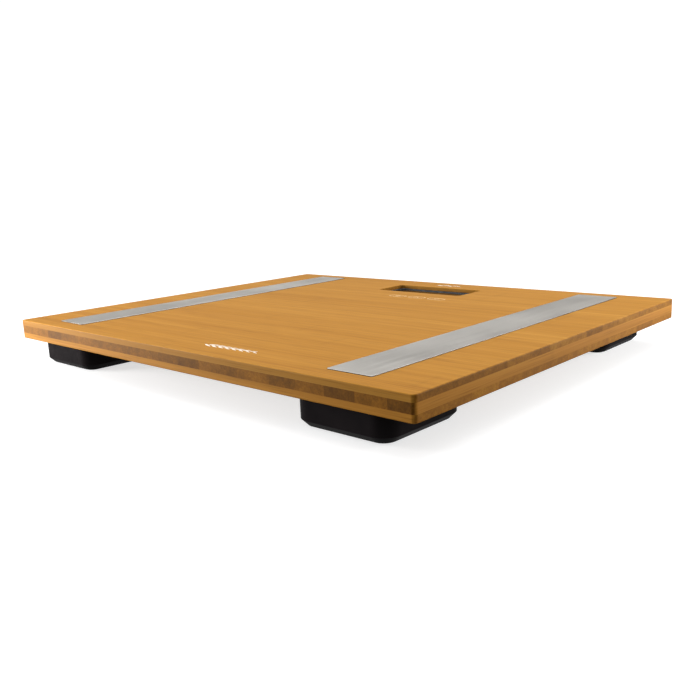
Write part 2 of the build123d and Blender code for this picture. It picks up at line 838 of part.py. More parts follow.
def module_housing():
    """Tray under the platform: walls, screw ears, circuit board posts and the battery bay."""
    tray = slab(housing_w, housing_depth, housing_corner_r, housing_bottom, z_under, 0, housing_mid_y)
    tray = chamfer(edges_at(tray, housing_bottom), housing_chamfer)
    inner_w = housing_w - 2 * housing_wall
    inner_d = housing_depth - 2 * housing_wall
    inner_r = housing_corner_r - housing_wall
    tray -= slab(inner_w, inner_d, inner_r, housing_floor_top, z_under, 0, housing_mid_y)
    for x, y in ear_places():
        ear = slab(ear_len, ear_w, ear_root_r, z_under - ear_t, z_under, x, y)
        root0, root1 = sorted((math.copysign(housing_w / 2 - housing_wall / 2, x), x))
        tray += ear + block(root0, root1, y - ear_w / 2, y + ear_w / 2, z_under - ear_t, z_under)
        tray -= rod(screw_r + screw_clear, z_under - ear_t, z_under, x, y)
    bay_top = z_under - bay_wall_drop
    outer_w = bay_w + 2 * bay_wall
    outer_back = bay_back_y + bay_wall
    bay_outer = block(-outer_w / 2, outer_w / 2, housing_front_y, outer_back, housing_floor_top, bay_top)
    bay_inner = block(-bay_w / 2, bay_w / 2, bay_front_y, bay_back_y, housing_floor_top, bay_top)
    tray += bay_outer - bay_inner
    tray -= door_opening() - block(-bay_w, bay_w, 0, bay_front_y, door_top + door_clear, z_under)
    for x, y in pcb_screw_places():
        tray += rod(pcb_post_r, housing_floor_top, pcb_bottom, x, y)
        depth_of_hole = pcb_screw_len - pcb_t
        tray -= rod(pcb_screw_r + thread_clear, pcb_bottom - depth_of_hole, pcb_bottom, x, y)
    return tray - rod(button_r + button_clear, housing_bottom, housing_floor_top, button_x, button_y)


def battery_door():
    """Sliding door: a plate with side tongues and a grip of shallow grooves."""
    half = bay_w / 2 - door_clear
    y0 = housing_front_y
    y1 = bay_back_y - door_clear
    door = block(-half, half, y0, y1, housing_bottom, door_top)
    door = chamfer(door.edges().filter_by(Axis.X).group_by(Axis.Z)[0].sort_by(Axis.Y)[0], housing_chamfer)
    tongue_z0 = housing_bottom + door_lip_t + door_clear
    reach = bay_w / 2 + door_tongue_reach
    door += block(-reach, reach, y0 + housing_corner_r / 2, y1, tongue_z0, tongue_z0 + door_tongue_h)
    for i in range(door_grip_count):
        y = y0 + door_grip_start + i * 2 * door_grip_w
        x = door_grip_len / 2
        door -= block(-x, x, y, y + door_grip_w, housing_bottom, housing_bottom + door_grip_depth)
    return door


def aaa_cell(row, facing):
    """An AAA cell lying along X. row is -1 or 1 across the bay, facing is the side of its raised end."""
    body_len = cell_aaa_len - cell_nub_len
    body = fillet(rod(cell_aaa_r, 0, body_len).edges(), cell_sleeve_ease)
    body += rod(cell_nub_r, body_len, cell_aaa_len)
    lying = Rot(0, 90, 0) * (Pos(0, 0, -cell_aaa_len / 2) * body)
    turned = lying if facing > 0 else mirror(lying, about=Plane.YZ)
    return Pos(0, bay_center_y + row * cell_pitch / 2, cell_axis_z) * turned


def leaf_profile():
    """Side view of a leaf contact at the right-hand end: up the wall, then a V that meets the cell."""
    wall_x = bay_w / 2 - contact_t / 2
    apex_x = cell_aaa_len / 2 + contact_t / 2 + contact_rest_gap
    low = cell_axis_z - leaf_drop
    high = cell_axis_z + leaf_rise
    line = Polyline((wall_x, low), (wall_x, high), (apex_x, cell_axis_z), (wall_x - leaf_return, low))
    return trace(line, line_width=contact_t)


def leaf(y):
    """One leaf of a contact, at the right-hand end of the bay."""
    return Pos(0, y + contact_w / 2, 0) * extrude(Plane.XZ * leaf_profile(), amount=contact_w)


def end_contact(row):
    """A leaf at the left end with a solder tab that reaches over the bay wall."""
    y = bay_center_y + row * cell_pitch / 2
    top = z_under + contact_t
    x1 = bay_w / 2
    half = contact_tab_half
    riser = block(x1 - contact_t, x1, y - half, y + half, cell_axis_z, top)
    reach = (battery_lead_x_far if row > 0 else battery_lead_x_near) + battery_lead_r
    tab = block(x1 - contact_t, reach, y - half, y + half, z_under, top)
    return mirror(leaf(y) + riser + tab, about=Plane.YZ)


def bridge_contact():
    """Joins the two cells at the right end: a plate with two leaves."""
    x1 = bay_w / 2
    y = bay_center_y
    half = cell_pitch / 2 + contact_w / 2
    plate = block(x1 - contact_t, x1, y - half, y + half, cell_axis_z - leaf_drop, cell_axis_z)
    return plate + leaf(y - cell_pitch / 2) + leaf(y + cell_pitch / 2)


def battery_lead(row):
    """From an end contact's tab to the front edge of the circuit board."""
    x = -(battery_lead_x_far if row > 0 else battery_lead_x_near)
    y = bay_center_y + row * cell_pitch / 2
    z_tab = z_under + contact_t + battery_lead_r
    z_end = pcb_top + battery_lead_r
    drop_y = pcb_front_y - lead_pad_inset
    points = [(x, y, z_tab), (x, drop_y, z_tab), (x, pcb_front_y + cell_lead_r, z_end), (x, pad_y, z_end)]
    return lead(points, battery_lead_r)


def pcb_screw(x, y):
    head = rod(pcb_screw_head_r, pcb_top, pcb_top + pcb_screw_head_t, x, y)
    head = fillet(edges_at(head, pcb_top + pcb_screw_head_t), pcb_screw_head_t / 2)
    return head + rod(pcb_screw_r, pcb_top - pcb_screw_len, pcb_top, x, y)


# ---------------------------------------------------------------- unit button and switch
def unit_button():
    """Push button in the housing floor: cap, inner flange and a stem up to the switch."""
    cap = rod(button_r, housing_bottom, housing_floor_top, button_x, button_y)
    cap -= rod(button_r - button_rim, housing_bottom, housing_bottom + button_dish, button_x, button_y)
    flange = rod(button_flange_r, housing_floor_top, housing_floor_top + button_flange_t, button_x, button_y)
    stem_top = switch_bottom - plunger_h
    return cap + flange + rod(button_stem_r, housing_floor_top, stem_top, button_x, button_y)


def switch_body():
    """Tactile switch under the circuit board, open round its plunger."""
    half = switch_w / 2
    y0, y1 = button_y - half, button_y + half
    body = block(button_x - half, button_x + half, y0, y1, switch_bottom, pcb_bottom)
    return body - rod(plunger_r + button_clear, switch_bottom, pcb_bottom - switch_roof, button_x, button_y)


def switch_plunger():
    """The switch's plunger, resting on the button's stem."""
    return rod(plunger_r, switch_bottom - plunger_h, pcb_bottom - plunger_inside, button_x, button_y)


# ---------------------------------------------------------------- every node
def group(name, solids):
    """Several separate solids of one kind as one node."""
    return Compound(label=name, children=[s for shape in solids for s in shape.solids()])


def all_nodes():
    nodes = {
        "top_ply": top_ply(),
        "core_ply": core_ply(),
        "bottom_ply": bottom_ply(),
        "display_bezel": display_bezel(),
        "display_lens": display_lens(),
        "lens_gasket": lens_gasket(),
        "lcd_frame": lcd_frame(),
        "lcd_glass": lcd_glass(),
        "backlight": backlight(),
        "main_board": main_board(),
        "touch_board": touch_board(),
        "touch_header": touch_header(),
        "module_housing": module_housing(),
        "battery_door": battery_door(),
        "battery_front": aaa_cell(-1, 1),
        "battery_back": aaa_cell(1, -1),
        "battery_bridge_contact": bridge_contact(),
        "unit_button": unit_button(),
        "switch_body": switch_body(),
        "switch_plunger": switch_plunger(),
    }
    for side, sx in sides.items():
        nodes[f"electrode_{side}"] = electrode(sx)
        nodes[f"electrode_lead_{side}"] = electrode_lead(sx)
    for corner, (sx, sy) in corners.items():
        nodes[f"foot_cup_{corner}"] = foot_cup(sx, sy)
        nodes[f"foot_pad_{corner}"] = foot_pad(sx, sy)
        nodes[f"foot_bracket_{corner}"] = foot_bracket(sx, sy)
        nodes[f"load_cell_{corner}"] = load_cell(sx, sy)
        nodes[f"load_cell_lead_{corner}"] = cell_lead(sx, sy)
        nodes[f"cable_cover_{corner}"] = cable_cover(sx, sy)
    places = [place for sx, sy in corners.values() for place in bracket_screw_places(sx, sy)]
    groups = {
        "strain_gauges": [strain_gauge(sx, sy) for sx, sy in corners.values()],
        "bracket_screws": [wood_screw(x, y, plate_bottom) for x, y in places],
        "housing_screws": [wood_screw(x, y, z_under - ear_t) for x, y in ear_places()],
        "electrode_nuts": [electrode_nut(sx) for sx in sides.values()],
        "electrode_terminals": [electrode_terminal(sx) for sx in sides.values()],
        "electrode_covers": [electrode_cover(sx) for sx in sides.values()],
        "zebra_strips": [zebra_strip(side) for side in (-1, 1)],
        "board_parts": board_parts(),
        "board_screws": [pcb_screw(x, y) for x, y in pcb_screw_places()],
        "battery_end_contacts": [end_contact(row) for row in (-1, 1)],
        "battery_leads": [battery_lead(row) for row in (-1, 1)],
    }
    for name, solids in groups.items():
        nodes[name] = group(name, solids)
    return nodes


os.makedirs("parts", exist_ok=True)
built = all_nodes()
for name, shape in built.items():
    export_step(shape, f"parts/{name}.step")
print(f"{len(built)} nodes, overall height {z_top:.1f} mm")
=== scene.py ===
# %% [markdown]
# # A bamboo bathroom scale, dressed for its portrait
# The working parts of the scale arrive as a finished assembly: plies, strips, feet, load cells, display and
# module. This lesson gives each of them the finish of its real material, and adds what only shows on the
# surface: printed marks, the display's segments, the studs of the rubber pads, and a small studio to look
# at it all in.

# %% The assembly and its size
import json
import math

import bpy
import numpy as np
from mathutils import Matrix, Vector


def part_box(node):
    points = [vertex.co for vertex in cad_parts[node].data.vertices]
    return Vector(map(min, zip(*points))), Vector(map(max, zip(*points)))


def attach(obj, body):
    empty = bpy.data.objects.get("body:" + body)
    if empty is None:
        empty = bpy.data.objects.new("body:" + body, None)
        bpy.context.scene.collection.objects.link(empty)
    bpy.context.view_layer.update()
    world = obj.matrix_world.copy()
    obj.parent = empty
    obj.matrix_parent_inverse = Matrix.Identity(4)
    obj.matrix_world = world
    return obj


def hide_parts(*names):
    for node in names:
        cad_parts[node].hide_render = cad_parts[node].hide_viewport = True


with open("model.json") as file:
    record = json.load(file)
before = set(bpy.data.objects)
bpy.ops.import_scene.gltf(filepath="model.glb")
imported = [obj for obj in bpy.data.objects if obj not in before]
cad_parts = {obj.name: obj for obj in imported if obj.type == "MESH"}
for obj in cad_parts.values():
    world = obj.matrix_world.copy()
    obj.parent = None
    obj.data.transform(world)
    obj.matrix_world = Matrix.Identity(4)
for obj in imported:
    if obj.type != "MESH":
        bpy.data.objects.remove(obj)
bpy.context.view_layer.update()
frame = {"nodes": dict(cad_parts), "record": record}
MM = 0.001

# %% [markdown]
# ## Two small helpers
# Colours are easiest to think of as the hex values of a paint chart, but light adds up in linear numbers,
# so one function turns one into the other. Every material is a small tree of nodes. One helper adds a node:
# its settings are the choices in its menus, and its inputs are either linked to another node or set to a
# plain value.

# %% Helpers
def linear(hex_colour):
    """sRGB hex to linear RGBA: each channel c is ((c + 0.055) / 1.055) to the power 2.4, or c / 12.92 when
    dark."""
    parts = np.array([int(hex_colour[i:i + 2], 16) for i in (1, 3, 5)]) / 255
    bright = ((parts + 0.055) / 1.055) ** 2.4
    return (*np.where(parts <= 0.04045, parts / 12.92, bright).tolist(), 1.0)


def add(tree, kind, settings, inputs):
    """Adds one node. An input that is a socket is linked, and any other value is set."""
    made = tree.nodes.new("ShaderNode" + kind)
    for name, value in settings.items():
        setattr(made, name, value)
    for name, value in inputs.items():
        if isinstance(value, bpy.types.NodeSocket):
            tree.links.new(value, made.inputs[name])
        else:
            made.inputs[name].default_value = value
    return made


def new_material(name, **constants):
    """A material with one Principled shader, and the constants that are the same all over the surface."""
    material = bpy.data.materials.new(name)
    material.use_nodes = True
    shader = material.node_tree.nodes["Principled BSDF"]
    for socket, value in constants.items():
        shader.inputs[socket.replace("_", " ")].default_value = value
    return material, material.node_tree, shader


def ramp(tree, factor, stops):
    """A colour ramp from a list of (place, hex colour)."""
    made = add(tree, "ValToRGB", {}, {"Fac": factor})
    band = made.color_ramp.elements
    while len(band) < len(stops):
        band.new(0.5)
    for element, (place, colour) in zip(band, stops):
        element.position = place
        element.color = linear(colour)
    return made.outputs["Color"]


print("carbonised bamboo, linear:", [round(c, 3) for c in linear("#C18A3E")[:3]])

# %% [markdown]
# ## Where things are
# Every place in this script is read from the assembly, so nothing has to be fitted by eye.

# %% Levels and centres
ply_low, ply_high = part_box("top_ply")
lens_low, lens_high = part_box("display_lens")
glass_low, glass_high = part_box("lcd_glass")
touch_low, touch_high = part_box("touch_board")
face_z = ply_high.z
window_y = (lens_low.y + lens_high.y) / 2
touch_x = (touch_low.x + touch_high.x) / 2
touch_y = (touch_low.y + touch_high.y) / 2
corners = ("front_left", "front_right", "back_left", "back_right")
print("platform face at", round(face_z / MM, 2), "mm, window centre y", round(window_y / MM, 1), "mm")

# %% [markdown]
# ## Bamboo, sawn from one solid pattern
# The platform is three plies of carbonised bamboo strips, glued with their grain crossed: outer plies run
# left to right, the core runs front to back. A picture pasted on each face would break at the edges.
# Instead the grain is a solid pattern in space, stretched along the fibres, so that a long face shows
# streaks and a cut end shows the dots of the same fibres. Each strip takes its own tone from a random
# number for its place across the ply. Cut ends drink more of the oil than faces do, so they are darker, and
# they differ more from strip to strip.

# %% Bamboo
def bamboo(name, along, strip, face_tones, end_tones, painted_side_shade_factor, seed):
    """Strips of a given width in mm, with the grain along X or Y. Tones run from the darkest strip to the
    lightest. The dark joint between two strips fades over joint_width mm to each side."""
    joint_width, knuckle_pitch = 0.16, 235.0
    material, tree, shader = new_material(name, Specular_IOR_Level=0.08, IOR=1.5)
    place = add(tree, "TexCoord", {}, {})
    in_mm = add(tree, "VectorMath", {"operation": "SCALE"}, {0: place.outputs["Object"], "Scale": 1 / MM})
    axes = add(tree, "SeparateXYZ", {}, {0: in_mm.outputs[0]})
    across = "Y" if along == "X" else "X"
    grain = add(tree, "CombineXYZ", {}, {
        "X": axes.outputs[along], "Y": axes.outputs[across], "Z": axes.outputs["Z"]}).outputs[0]

    # which strip a point is in, and that strip's own random number
    turns = add(tree, "Math", {"operation": "DIVIDE"}, {0: axes.outputs[across], 1: strip}).outputs[0]
    shifted = add(tree, "Math", {"operation": "ADD"}, {0: turns, 1: seed + 0.37}).outputs[0]
    index = add(tree, "Math", {"operation": "FLOOR"}, {0: shifted}).outputs[0]
    chance = add(tree, "TexWhiteNoise", {"noise_dimensions": "1D"}, {"W": index}).outputs["Value"]

    # streaks: long soft bands, fine fibres, and the dark fibre bundles that a cut end shows as dots
    wide = add(tree, "Mapping", {"vector_type": "POINT"}, {"Vector": grain, "Scale": (0.004, 0.22, 0.25)})
    band = add(tree, "TexNoise", {}, {
        "Vector": wide.outputs[0], "Scale": 1.0, "Detail": 3.0, "Roughness": 0.6})
    fine = add(tree, "Mapping", {"vector_type": "POINT"}, {"Vector": grain, "Scale": (0.010, 1.15, 1.15)})
    fibre = add(tree, "TexNoise", {}, {
        "Vector": fine.outputs[0], "Scale": 1.0, "Detail": 4.0, "Roughness": 0.65})
    stem = add(tree, "Mapping", {"vector_type": "POINT"}, {"Vector": grain, "Scale": (0.03, 1.15, 1.15)})
    cells = add(tree, "TexVoronoi", {}, {"Vector": stem.outputs[0], "Scale": 1.0, "Randomness": 0.9})
    bundle = add(tree, "MapRange", {"interpolation_type": "SMOOTHSTEP"}, {
        "Value": cells.outputs["Distance"], "From Min": 0.12, "From Max": 0.34, "To Min": 1.0, "To Max": 0.0})

    # one number for the tone: the strip's own, the band's and the fibre's
    mixed = add(tree, "Mix", {"data_type": "FLOAT"}, {
        "Factor": 0.52, "A": band.outputs["Fac"], "B": fibre.outputs["Fac"]})
    spread = add(tree, "MapRange", {}, {"Value": mixed.outputs[0], "From Min": 0.33, "From Max": 0.67})
    strip_share = add(tree, "Mix", {"data_type": "FLOAT"}, {
        "Factor": 0.16, "A": spread.outputs[0], "B": chance})
    face = ramp(tree, strip_share.outputs[0], face_tones)
    end_share = add(tree, "Mix", {"data_type": "FLOAT"}, {
        "Factor": 0.40, "A": spread.outputs[0], "B": chance})
    end = ramp(tree, end_share.outputs[0], end_tones)

    # how squarely the surface cuts the grain
    facing = add(tree, "SeparateXYZ", {}, {0: place.outputs["Normal"]})
    cut = add(tree, "Math", {"operation": "ABSOLUTE"}, {0: facing.outputs[along]})
    is_end = add(tree, "MapRange", {"interpolation_type": "SMOOTHSTEP"}, {
        "Value": cut.outputs[0], "From Min": 0.45, "From Max": 0.85})
    body = add(tree, "Mix", {"data_type": "RGBA"}, {"Factor": is_end.outputs[0], "A": face, "B": end})

    # painted shade on the upright sides, fibre bundles, the joint between two strips and the knuckle that
    # each strip has somewhere
    side = add(tree, "Math", {"operation": "ABSOLUTE"}, {0: facing.outputs["Z"]})
    # painted shade: faces that stand upright are darkened down to the given side factor, less lit than the
    # top
    upright_shade_mask = add(tree, "MapRange", {"interpolation_type": "SMOOTHSTEP"}, {
        "Value": side.outputs[0], "From Min": 0.2, "From Max": 0.75, "To Min": painted_side_shade_factor, "To Max": 1.0})
    dots = add(tree, "MapRange", {}, {"Value": bundle.outputs[0], "To Min": 1.0, "To Max": 0.80})
    part = add(tree, "Math", {"operation": "FRACT"}, {0: shifted}).outputs[0]
    gap = add(tree, "Math", {"operation": "PINGPONG"}, {0: part, 1: 0.5}).outputs[0]
    joint = add(tree, "MapRange", {}, {
        "Value": gap, "From Min": 0.0, "From Max": joint_width / strip, "To Min": 0.88, "To Max": 1.0})
    start = add(tree, "Math", {"operation": "MULTIPLY"}, {0: chance, 1: 41.0}).outputs[0]
    steps = add(tree, "Math", {"operation": "MULTIPLY_ADD"}, {
        0: axes.outputs[along], 1: 1 / knuckle_pitch, 2: start}).outputs[0]
    loop = add(tree, "Math", {"operation": "PINGPONG"}, {0: steps, 1: 0.5}).outputs[0]
    knuckle = add(tree, "MapRange", {"interpolation_type": "SMOOTHSTEP"}, {
        "Value": loop, "From Min": 0.002, "From Max": 0.010, "To Min": 0.95, "To Max": 1.0})
    shade = upright_shade_mask.outputs[0]
    for factor in (dots.outputs[0], joint.outputs[0], knuckle.outputs[0]):
        shade = add(tree, "Math", {"operation": "MULTIPLY"}, {0: shade, 1: factor}).outputs[0]
    tone = add(tree, "CombineColor", {}, {"Red": shade, "Green": shade, "Blue": shade}).outputs[0]
    final = add(tree, "Mix", {"data_type": "RGBA", "blend_type": "MULTIPLY"}, {
        "Factor": 1.0, "A": body.outputs["Result"], "B": tone})
    tree.links.new(final.outputs["Result"], shader.inputs["Base Color"])

    # the lacquer sinks a little between fibres
    rough = add(tree, "MapRange", {}, {"Value": fibre.outputs["Fac"], "To Min": 0.46, "To Max": 0.64})
    tree.links.new(rough.outputs[0], shader.inputs["Roughness"])
    bump = add(tree, "Bump", {}, {"Strength": 0.35, "Distance": 0.05 * MM, "Height": fibre.outputs["Fac"]})
    tree.links.new(bump.outputs[0], shader.inputs["Normal"])
    return material


face_tones = [(0.0, "#9A651E"), (0.35, "#AE7728"), (0.7, "#B88130"), (1.0, "#C38E3C")]
top_end_tones = [(0.0, "#7A5018"), (0.4, "#96621D"), (0.7, "#AC7424"), (1.0, "#BE8630")]
core_face_tones = [(0.0, "#A56C22"), (0.5, "#BD8030"), (1.0, "#CC943E")]
core_end_tones = [(0.0, "#5E3B0E"), (0.45, "#7E5115"), (0.75, "#98631B"), (1.0, "#B47826")]
low_face_tones = [(0.0, "#A06A24"), (0.5, "#BA7F2E"), (1.0, "#C99040")]
bamboo_top = bamboo("carbonised_bamboo_top", "X", 19.0, face_tones, top_end_tones, 0.80, 3.0)
bamboo_core = bamboo("carbonised_bamboo_core", "Y", 17.0, core_face_tones, core_end_tones, 0.85, 11.0)
bamboo_low = bamboo("carbonised_bamboo_underside", "X", 21.0, low_face_tones, top_end_tones, 0.88, 29.0)
print("bamboo: three solid patterns, strips 19, 17 and 21 mm wide")

# %% [markdown]
# ## Brushed stainless steel
# The electrode strips are cut from sheet that was brushed along its length. Brushing leaves hair-fine
# scratches that smear a reflection across them. The scratches are a noise stretched along the strip: they
# move the roughness a lot and the colour a little. The edge tint of a metal keeps its glancing reflection
# from going white.

# %% Stainless steel
def brushed_steel(name, colour, dull, scratch_mm):
    """Scratches of a given spacing in mm that run along Y, on the flat face. The upright edges are painted
    dark as shade.
    """
    material, tree, shader = new_material(name, Metallic=1.0, Specular_Tint=linear("#DAD7D2"))
    place = add(tree, "TexCoord", {}, {})
    narrow, long = 1 / (scratch_mm * MM), 1 / (60 * MM)
    hair = add(tree, "Mapping", {}, {"Vector": place.outputs["Object"], "Scale": (narrow, long, narrow)})
    noise = add(tree, "TexNoise", {}, {
        "Vector": hair.outputs[0], "Scale": 1.0, "Detail": 3.0, "Roughness": 0.6})
    cloud = add(tree, "TexNoise", {}, {"Vector": place.outputs["Object"], "Scale": 28.0, "Detail": 2.0})
    both = add(tree, "Mix", {"data_type": "FLOAT"}, {
        "Factor": 0.3, "A": noise.outputs["Fac"], "B": cloud.outputs["Fac"]})
    tint = ramp(tree, both.outputs[0], [(0.3, dull), (0.7, colour)])
    # painted shade: the upright edges of the strip take a dark colour that stands in for the shade on them
    upright = add(tree, "SeparateXYZ", {}, {0: place.outputs["Normal"]}).outputs["Z"]
    flat = add(tree, "MapRange", {"interpolation_type": "SMOOTHSTEP"}, {
        "Value": upright, "From Min": 0.2, "From Max": 0.9})
    painted_edge_shade = add(tree, "Mix", {"data_type": "RGBA"}, {
        "Factor": flat.outputs[0], "A": linear("#4A443C"), "B": tint})
    tree.links.new(painted_edge_shade.outputs["Result"], shader.inputs["Base Color"])
    rough = add(tree, "MapRange", {}, {
        "Value": both.outputs[0], "From Min": 0.3, "From Max": 0.7, "To Min": 0.30, "To Max": 0.44})
    tree.links.new(rough.outputs[0], shader.inputs["Roughness"])
    bump = add(tree, "Bump", {}, {"Strength": 0.25, "Distance": 0.02 * MM, "Height": noise.outputs["Fac"]})
    tree.links.new(bump.outputs[0], shader.inputs["Normal"])
    return material


steel_strip = brushed_steel("brushed_stainless_steel", "#D6D3CE", "#C8C5C0", 0.35)

# %% [markdown]
# ## Plated and stamped metal
# Screws, springs, terminals and load cells are steel or copper with a thin bright plating. It has no
# direction: a faint mottle from the plating bath, and a rolled or tumbled surface that is a little uneven.

# %% Plated metals
def plated_metal(name, colour, dull, roughness, mottle_mm):
    """A mottle of a given size in mm between two tones, on bare or plated metal."""
    material, tree, shader = new_material(name, Metallic=1.0)
    place = add(tree, "TexCoord", {}, {})
    mottle = add(tree, "TexNoise", {}, {
        "Vector": place.outputs["Object"], "Scale": 1 / (mottle_mm * MM), "Detail": 4.0, "Roughness": 0.6})
    tint = ramp(tree, mottle.outputs["Fac"], [(0.35, dull), (0.65, colour)])
    tree.links.new(tint, shader.inputs["Base Color"])
    rough = add(tree, "MapRange", {}, {
        "Value": mottle.outputs["Fac"], "To Min": roughness * 0.7, "To Max": roughness * 1.3})
    tree.links.new(rough.outputs[0], shader.inputs["Roughness"])
    bump = add(tree, "Bump", {}, {"Strength": 0.2, "Distance": 0.02 * MM, "Height": mottle.outputs["Fac"]})
    tree.links.new(bump.outputs[0], shader.inputs["Normal"])
    return material


zinc = plated_metal("zinc_plated_steel", "#C9CBC6", "#A9AAA2", 0.32, 2.5)
spring = plated_metal("nickel_plated_spring_steel", "#BDBBB4", "#9C9A94", 0.26, 4.0)
tin = plated_metal("tinned_copper", "#D3D0C8", "#B5AFA2", 0.35, 1.2)

# %% [markdown]
# ## Moulded plastics, rubber and tape
# All of these are one recipe with different numbers: a body colour that drifts slightly, a grain that the
# mould or the foam gave it, and a gloss that follows the grain. A polished mould gives the feet a wet shine
# with a faint orange peel; spark erosion gives the housing a fine even grain; foam and rubber are coarse
# and dull.

# %% Plastics
def moulded(name, colour, shadow, roughness, grain_mm, depth_mm, specular):
    """A grain of a given size and depth in mm on a moulded or cast surface."""
    material, tree, shader = new_material(name, IOR=1.5, Specular_IOR_Level=specular)
    place = add(tree, "TexCoord", {}, {})
    drift = add(tree, "TexNoise", {}, {
        "Vector": place.outputs["Object"], "Scale": 1 / (14 * MM), "Detail": 3.0})
    tint = ramp(tree, drift.outputs["Fac"], [(0.3, shadow), (0.7, colour)])
    tree.links.new(tint, shader.inputs["Base Color"])
    grain = add(tree, "TexNoise", {}, {
        "Vector": place.outputs["Object"], "Scale": 1 / (grain_mm * MM), "Detail": 2.0, "Roughness": 0.55})
    rough = add(tree, "MapRange", {}, {
        "Value": grain.outputs["Fac"], "From Min": 0.25, "From Max": 0.75,
        "To Min": roughness * 0.8, "To Max": min(1.0, roughness * 1.2)})
    tree.links.new(rough.outputs[0], shader.inputs["Roughness"])
    bump = add(tree, "Bump", {}, {"Strength": 0.6, "Distance": depth_mm * MM, "Height": grain.outputs["Fac"]})
    tree.links.new(bump.outputs[0], shader.inputs["Normal"])
    return material


# slot, material, colour, darker tone, roughness, grain mm, depth mm, specular level
mouldings = {
    "foot_black": ("polished_black_abs", "#211D1E", "#1B1819", 0.20, 3.5, 0.012, 0.07),
    "bracket_black": ("black_glass_filled_nylon", "#242427", "#1A1A1C", 0.45, 0.9, 0.020, 0.4),
    "housing_black": ("spark_eroded_black_abs", "#222224", "#19191B", 0.48, 0.7, 0.030, 0.4),
    "cover_strip": ("black_cloth_tape", "#2A2A2B", "#1D1D1E", 0.62, 0.5, 0.040, 0.3),
    "pad_rubber": ("non_slip_rubber", "#3A3A3B", "#2C2C2D", 0.78, 0.8, 0.030, 0.3),
    "gasket_foam": ("closed_cell_foam", "#2B2B2C", "#161617", 0.92, 0.5, 0.080, 0.2),
    "zebra_rubber": ("silicone_contact_rubber", "#A9A8A4", "#8F8E8A", 0.60, 0.6, 0.010, 0.4),
    "frame_white": ("white_polycarbonate", "#E4E2DC", "#D6D3CC", 0.34, 0.9, 0.008, 0.5),
    "gauge_potting": ("white_silicone_potting", "#E3E0D6", "#CFCBBF", 0.38, 2.2, 0.060, 0.5),
    "lead_sleeve": ("red_pvc_sleeve", "#B3231B", "#931B15", 0.34, 1.2, 0.010, 0.5),
    "button_grey": ("grey_acetal", "#78797C", "#66676A", 0.36, 0.8, 0.010, 0.5),
    "chip_black": ("epoxy_moulding_compound", "#201F20", "#161516", 0.55, 0.3, 0.015, 0.4),
}
finish = {slot: moulded(*numbers) for slot, numbers in mouldings.items()}
print(len(finish), "moulded finishes")

# %% [markdown]
# ## Clear parts
# The display window is a smoked acrylic sheet: nearly black from outside until the display lights up behind
# it. The display itself is two sheets of glass with a grey-green film, and behind it lies a milky acrylic
# light guide.

# %% Acrylic and glass
def clear_sheet(name, colour, ior, roughness, clearness, haze_mm):
    """A transparent sheet. Faint smears of a given size in mm break up its gloss."""
    material, tree, shader = new_material(
        name, Base_Color=linear(colour), IOR=ior, Transmission_Weight=clearness)
    place = add(tree, "TexCoord", {}, {})
    smear = add(tree, "TexNoise", {}, {
        "Vector": place.outputs["Object"], "Scale": 1 / (haze_mm * MM), "Detail": 3.0})
    rough = add(tree, "MapRange", {}, {
        "Value": smear.outputs["Fac"], "From Min": 0.4, "From Max": 0.7,
        "To Min": roughness, "To Max": roughness * 1.8})
    tree.links.new(rough.outputs[0], shader.inputs["Roughness"])
    return material


finish["lens_smoke"] = clear_sheet("smoked_acrylic", "#2B2A2C", 1.49, 0.03, 0.9, 9.0)
finish["lcd_glass"] = clear_sheet("display_glass", "#7E8778", 1.52, 0.12, 0.35, 6.0)
finish["light_guide"] = clear_sheet("milky_acrylic", "#D9E2E8", 1.49, 0.55, 0.5, 4.0)

# %% [markdown]
# ## Circuit board and dry cells
# A circuit board is glass-fibre sheet under green solder mask. The copper tracks lie under the mask, so
# they show as slightly lighter, slightly raised lines. They are drawn here as square cells of a coarse
# pattern, about 1.3 mm apart. The cells wear a printed plastic jacket with a band at the raised end, and
# bare steel at both ends.

# %% Board and cells
def solder_mask(name, mask, track, pitch_mm):
    """Tracks of a given pitch in mm under green mask: a Manhattan cell pattern cut at a threshold."""
    material, tree, shader = new_material(name, IOR=1.5, Specular_IOR_Level=0.5)
    place = add(tree, "TexCoord", {}, {})
    cells = add(tree, "TexVoronoi", {"distance": "CHEBYCHEV", "feature": "F1"}, {
        "Vector": place.outputs["Object"], "Scale": 1 / (pitch_mm * 2.4 * MM), "Randomness": 0.75})
    rings = add(tree, "Math", {"operation": "PINGPONG"}, {0: cells.outputs["Distance"], 1: 0.12}).outputs[0]
    line = add(tree, "MapRange", {}, {"Value": rings, "From Min": 0.05, "From Max": 0.07})
    colour = add(tree, "Mix", {"data_type": "RGBA"}, {
        "Factor": line.outputs[0], "A": linear(mask), "B": linear(track)})
    tree.links.new(colour.outputs["Result"], shader.inputs["Base Color"])
    weave = add(tree, "TexNoise", {}, {
        "Vector": place.outputs["Object"], "Scale": 1 / (0.8 * MM), "Detail": 2.0})
    rough = add(tree, "MapRange", {}, {"Value": weave.outputs["Fac"], "To Min": 0.22, "To Max": 0.38})
    tree.links.new(rough.outputs[0], shader.inputs["Roughness"])
    bump = add(tree, "Bump", {}, {"Strength": 0.5, "Distance": 0.035 * MM, "Height": line.outputs[0]})
    tree.links.new(bump.outputs[0], shader.inputs["Normal"])
    return material


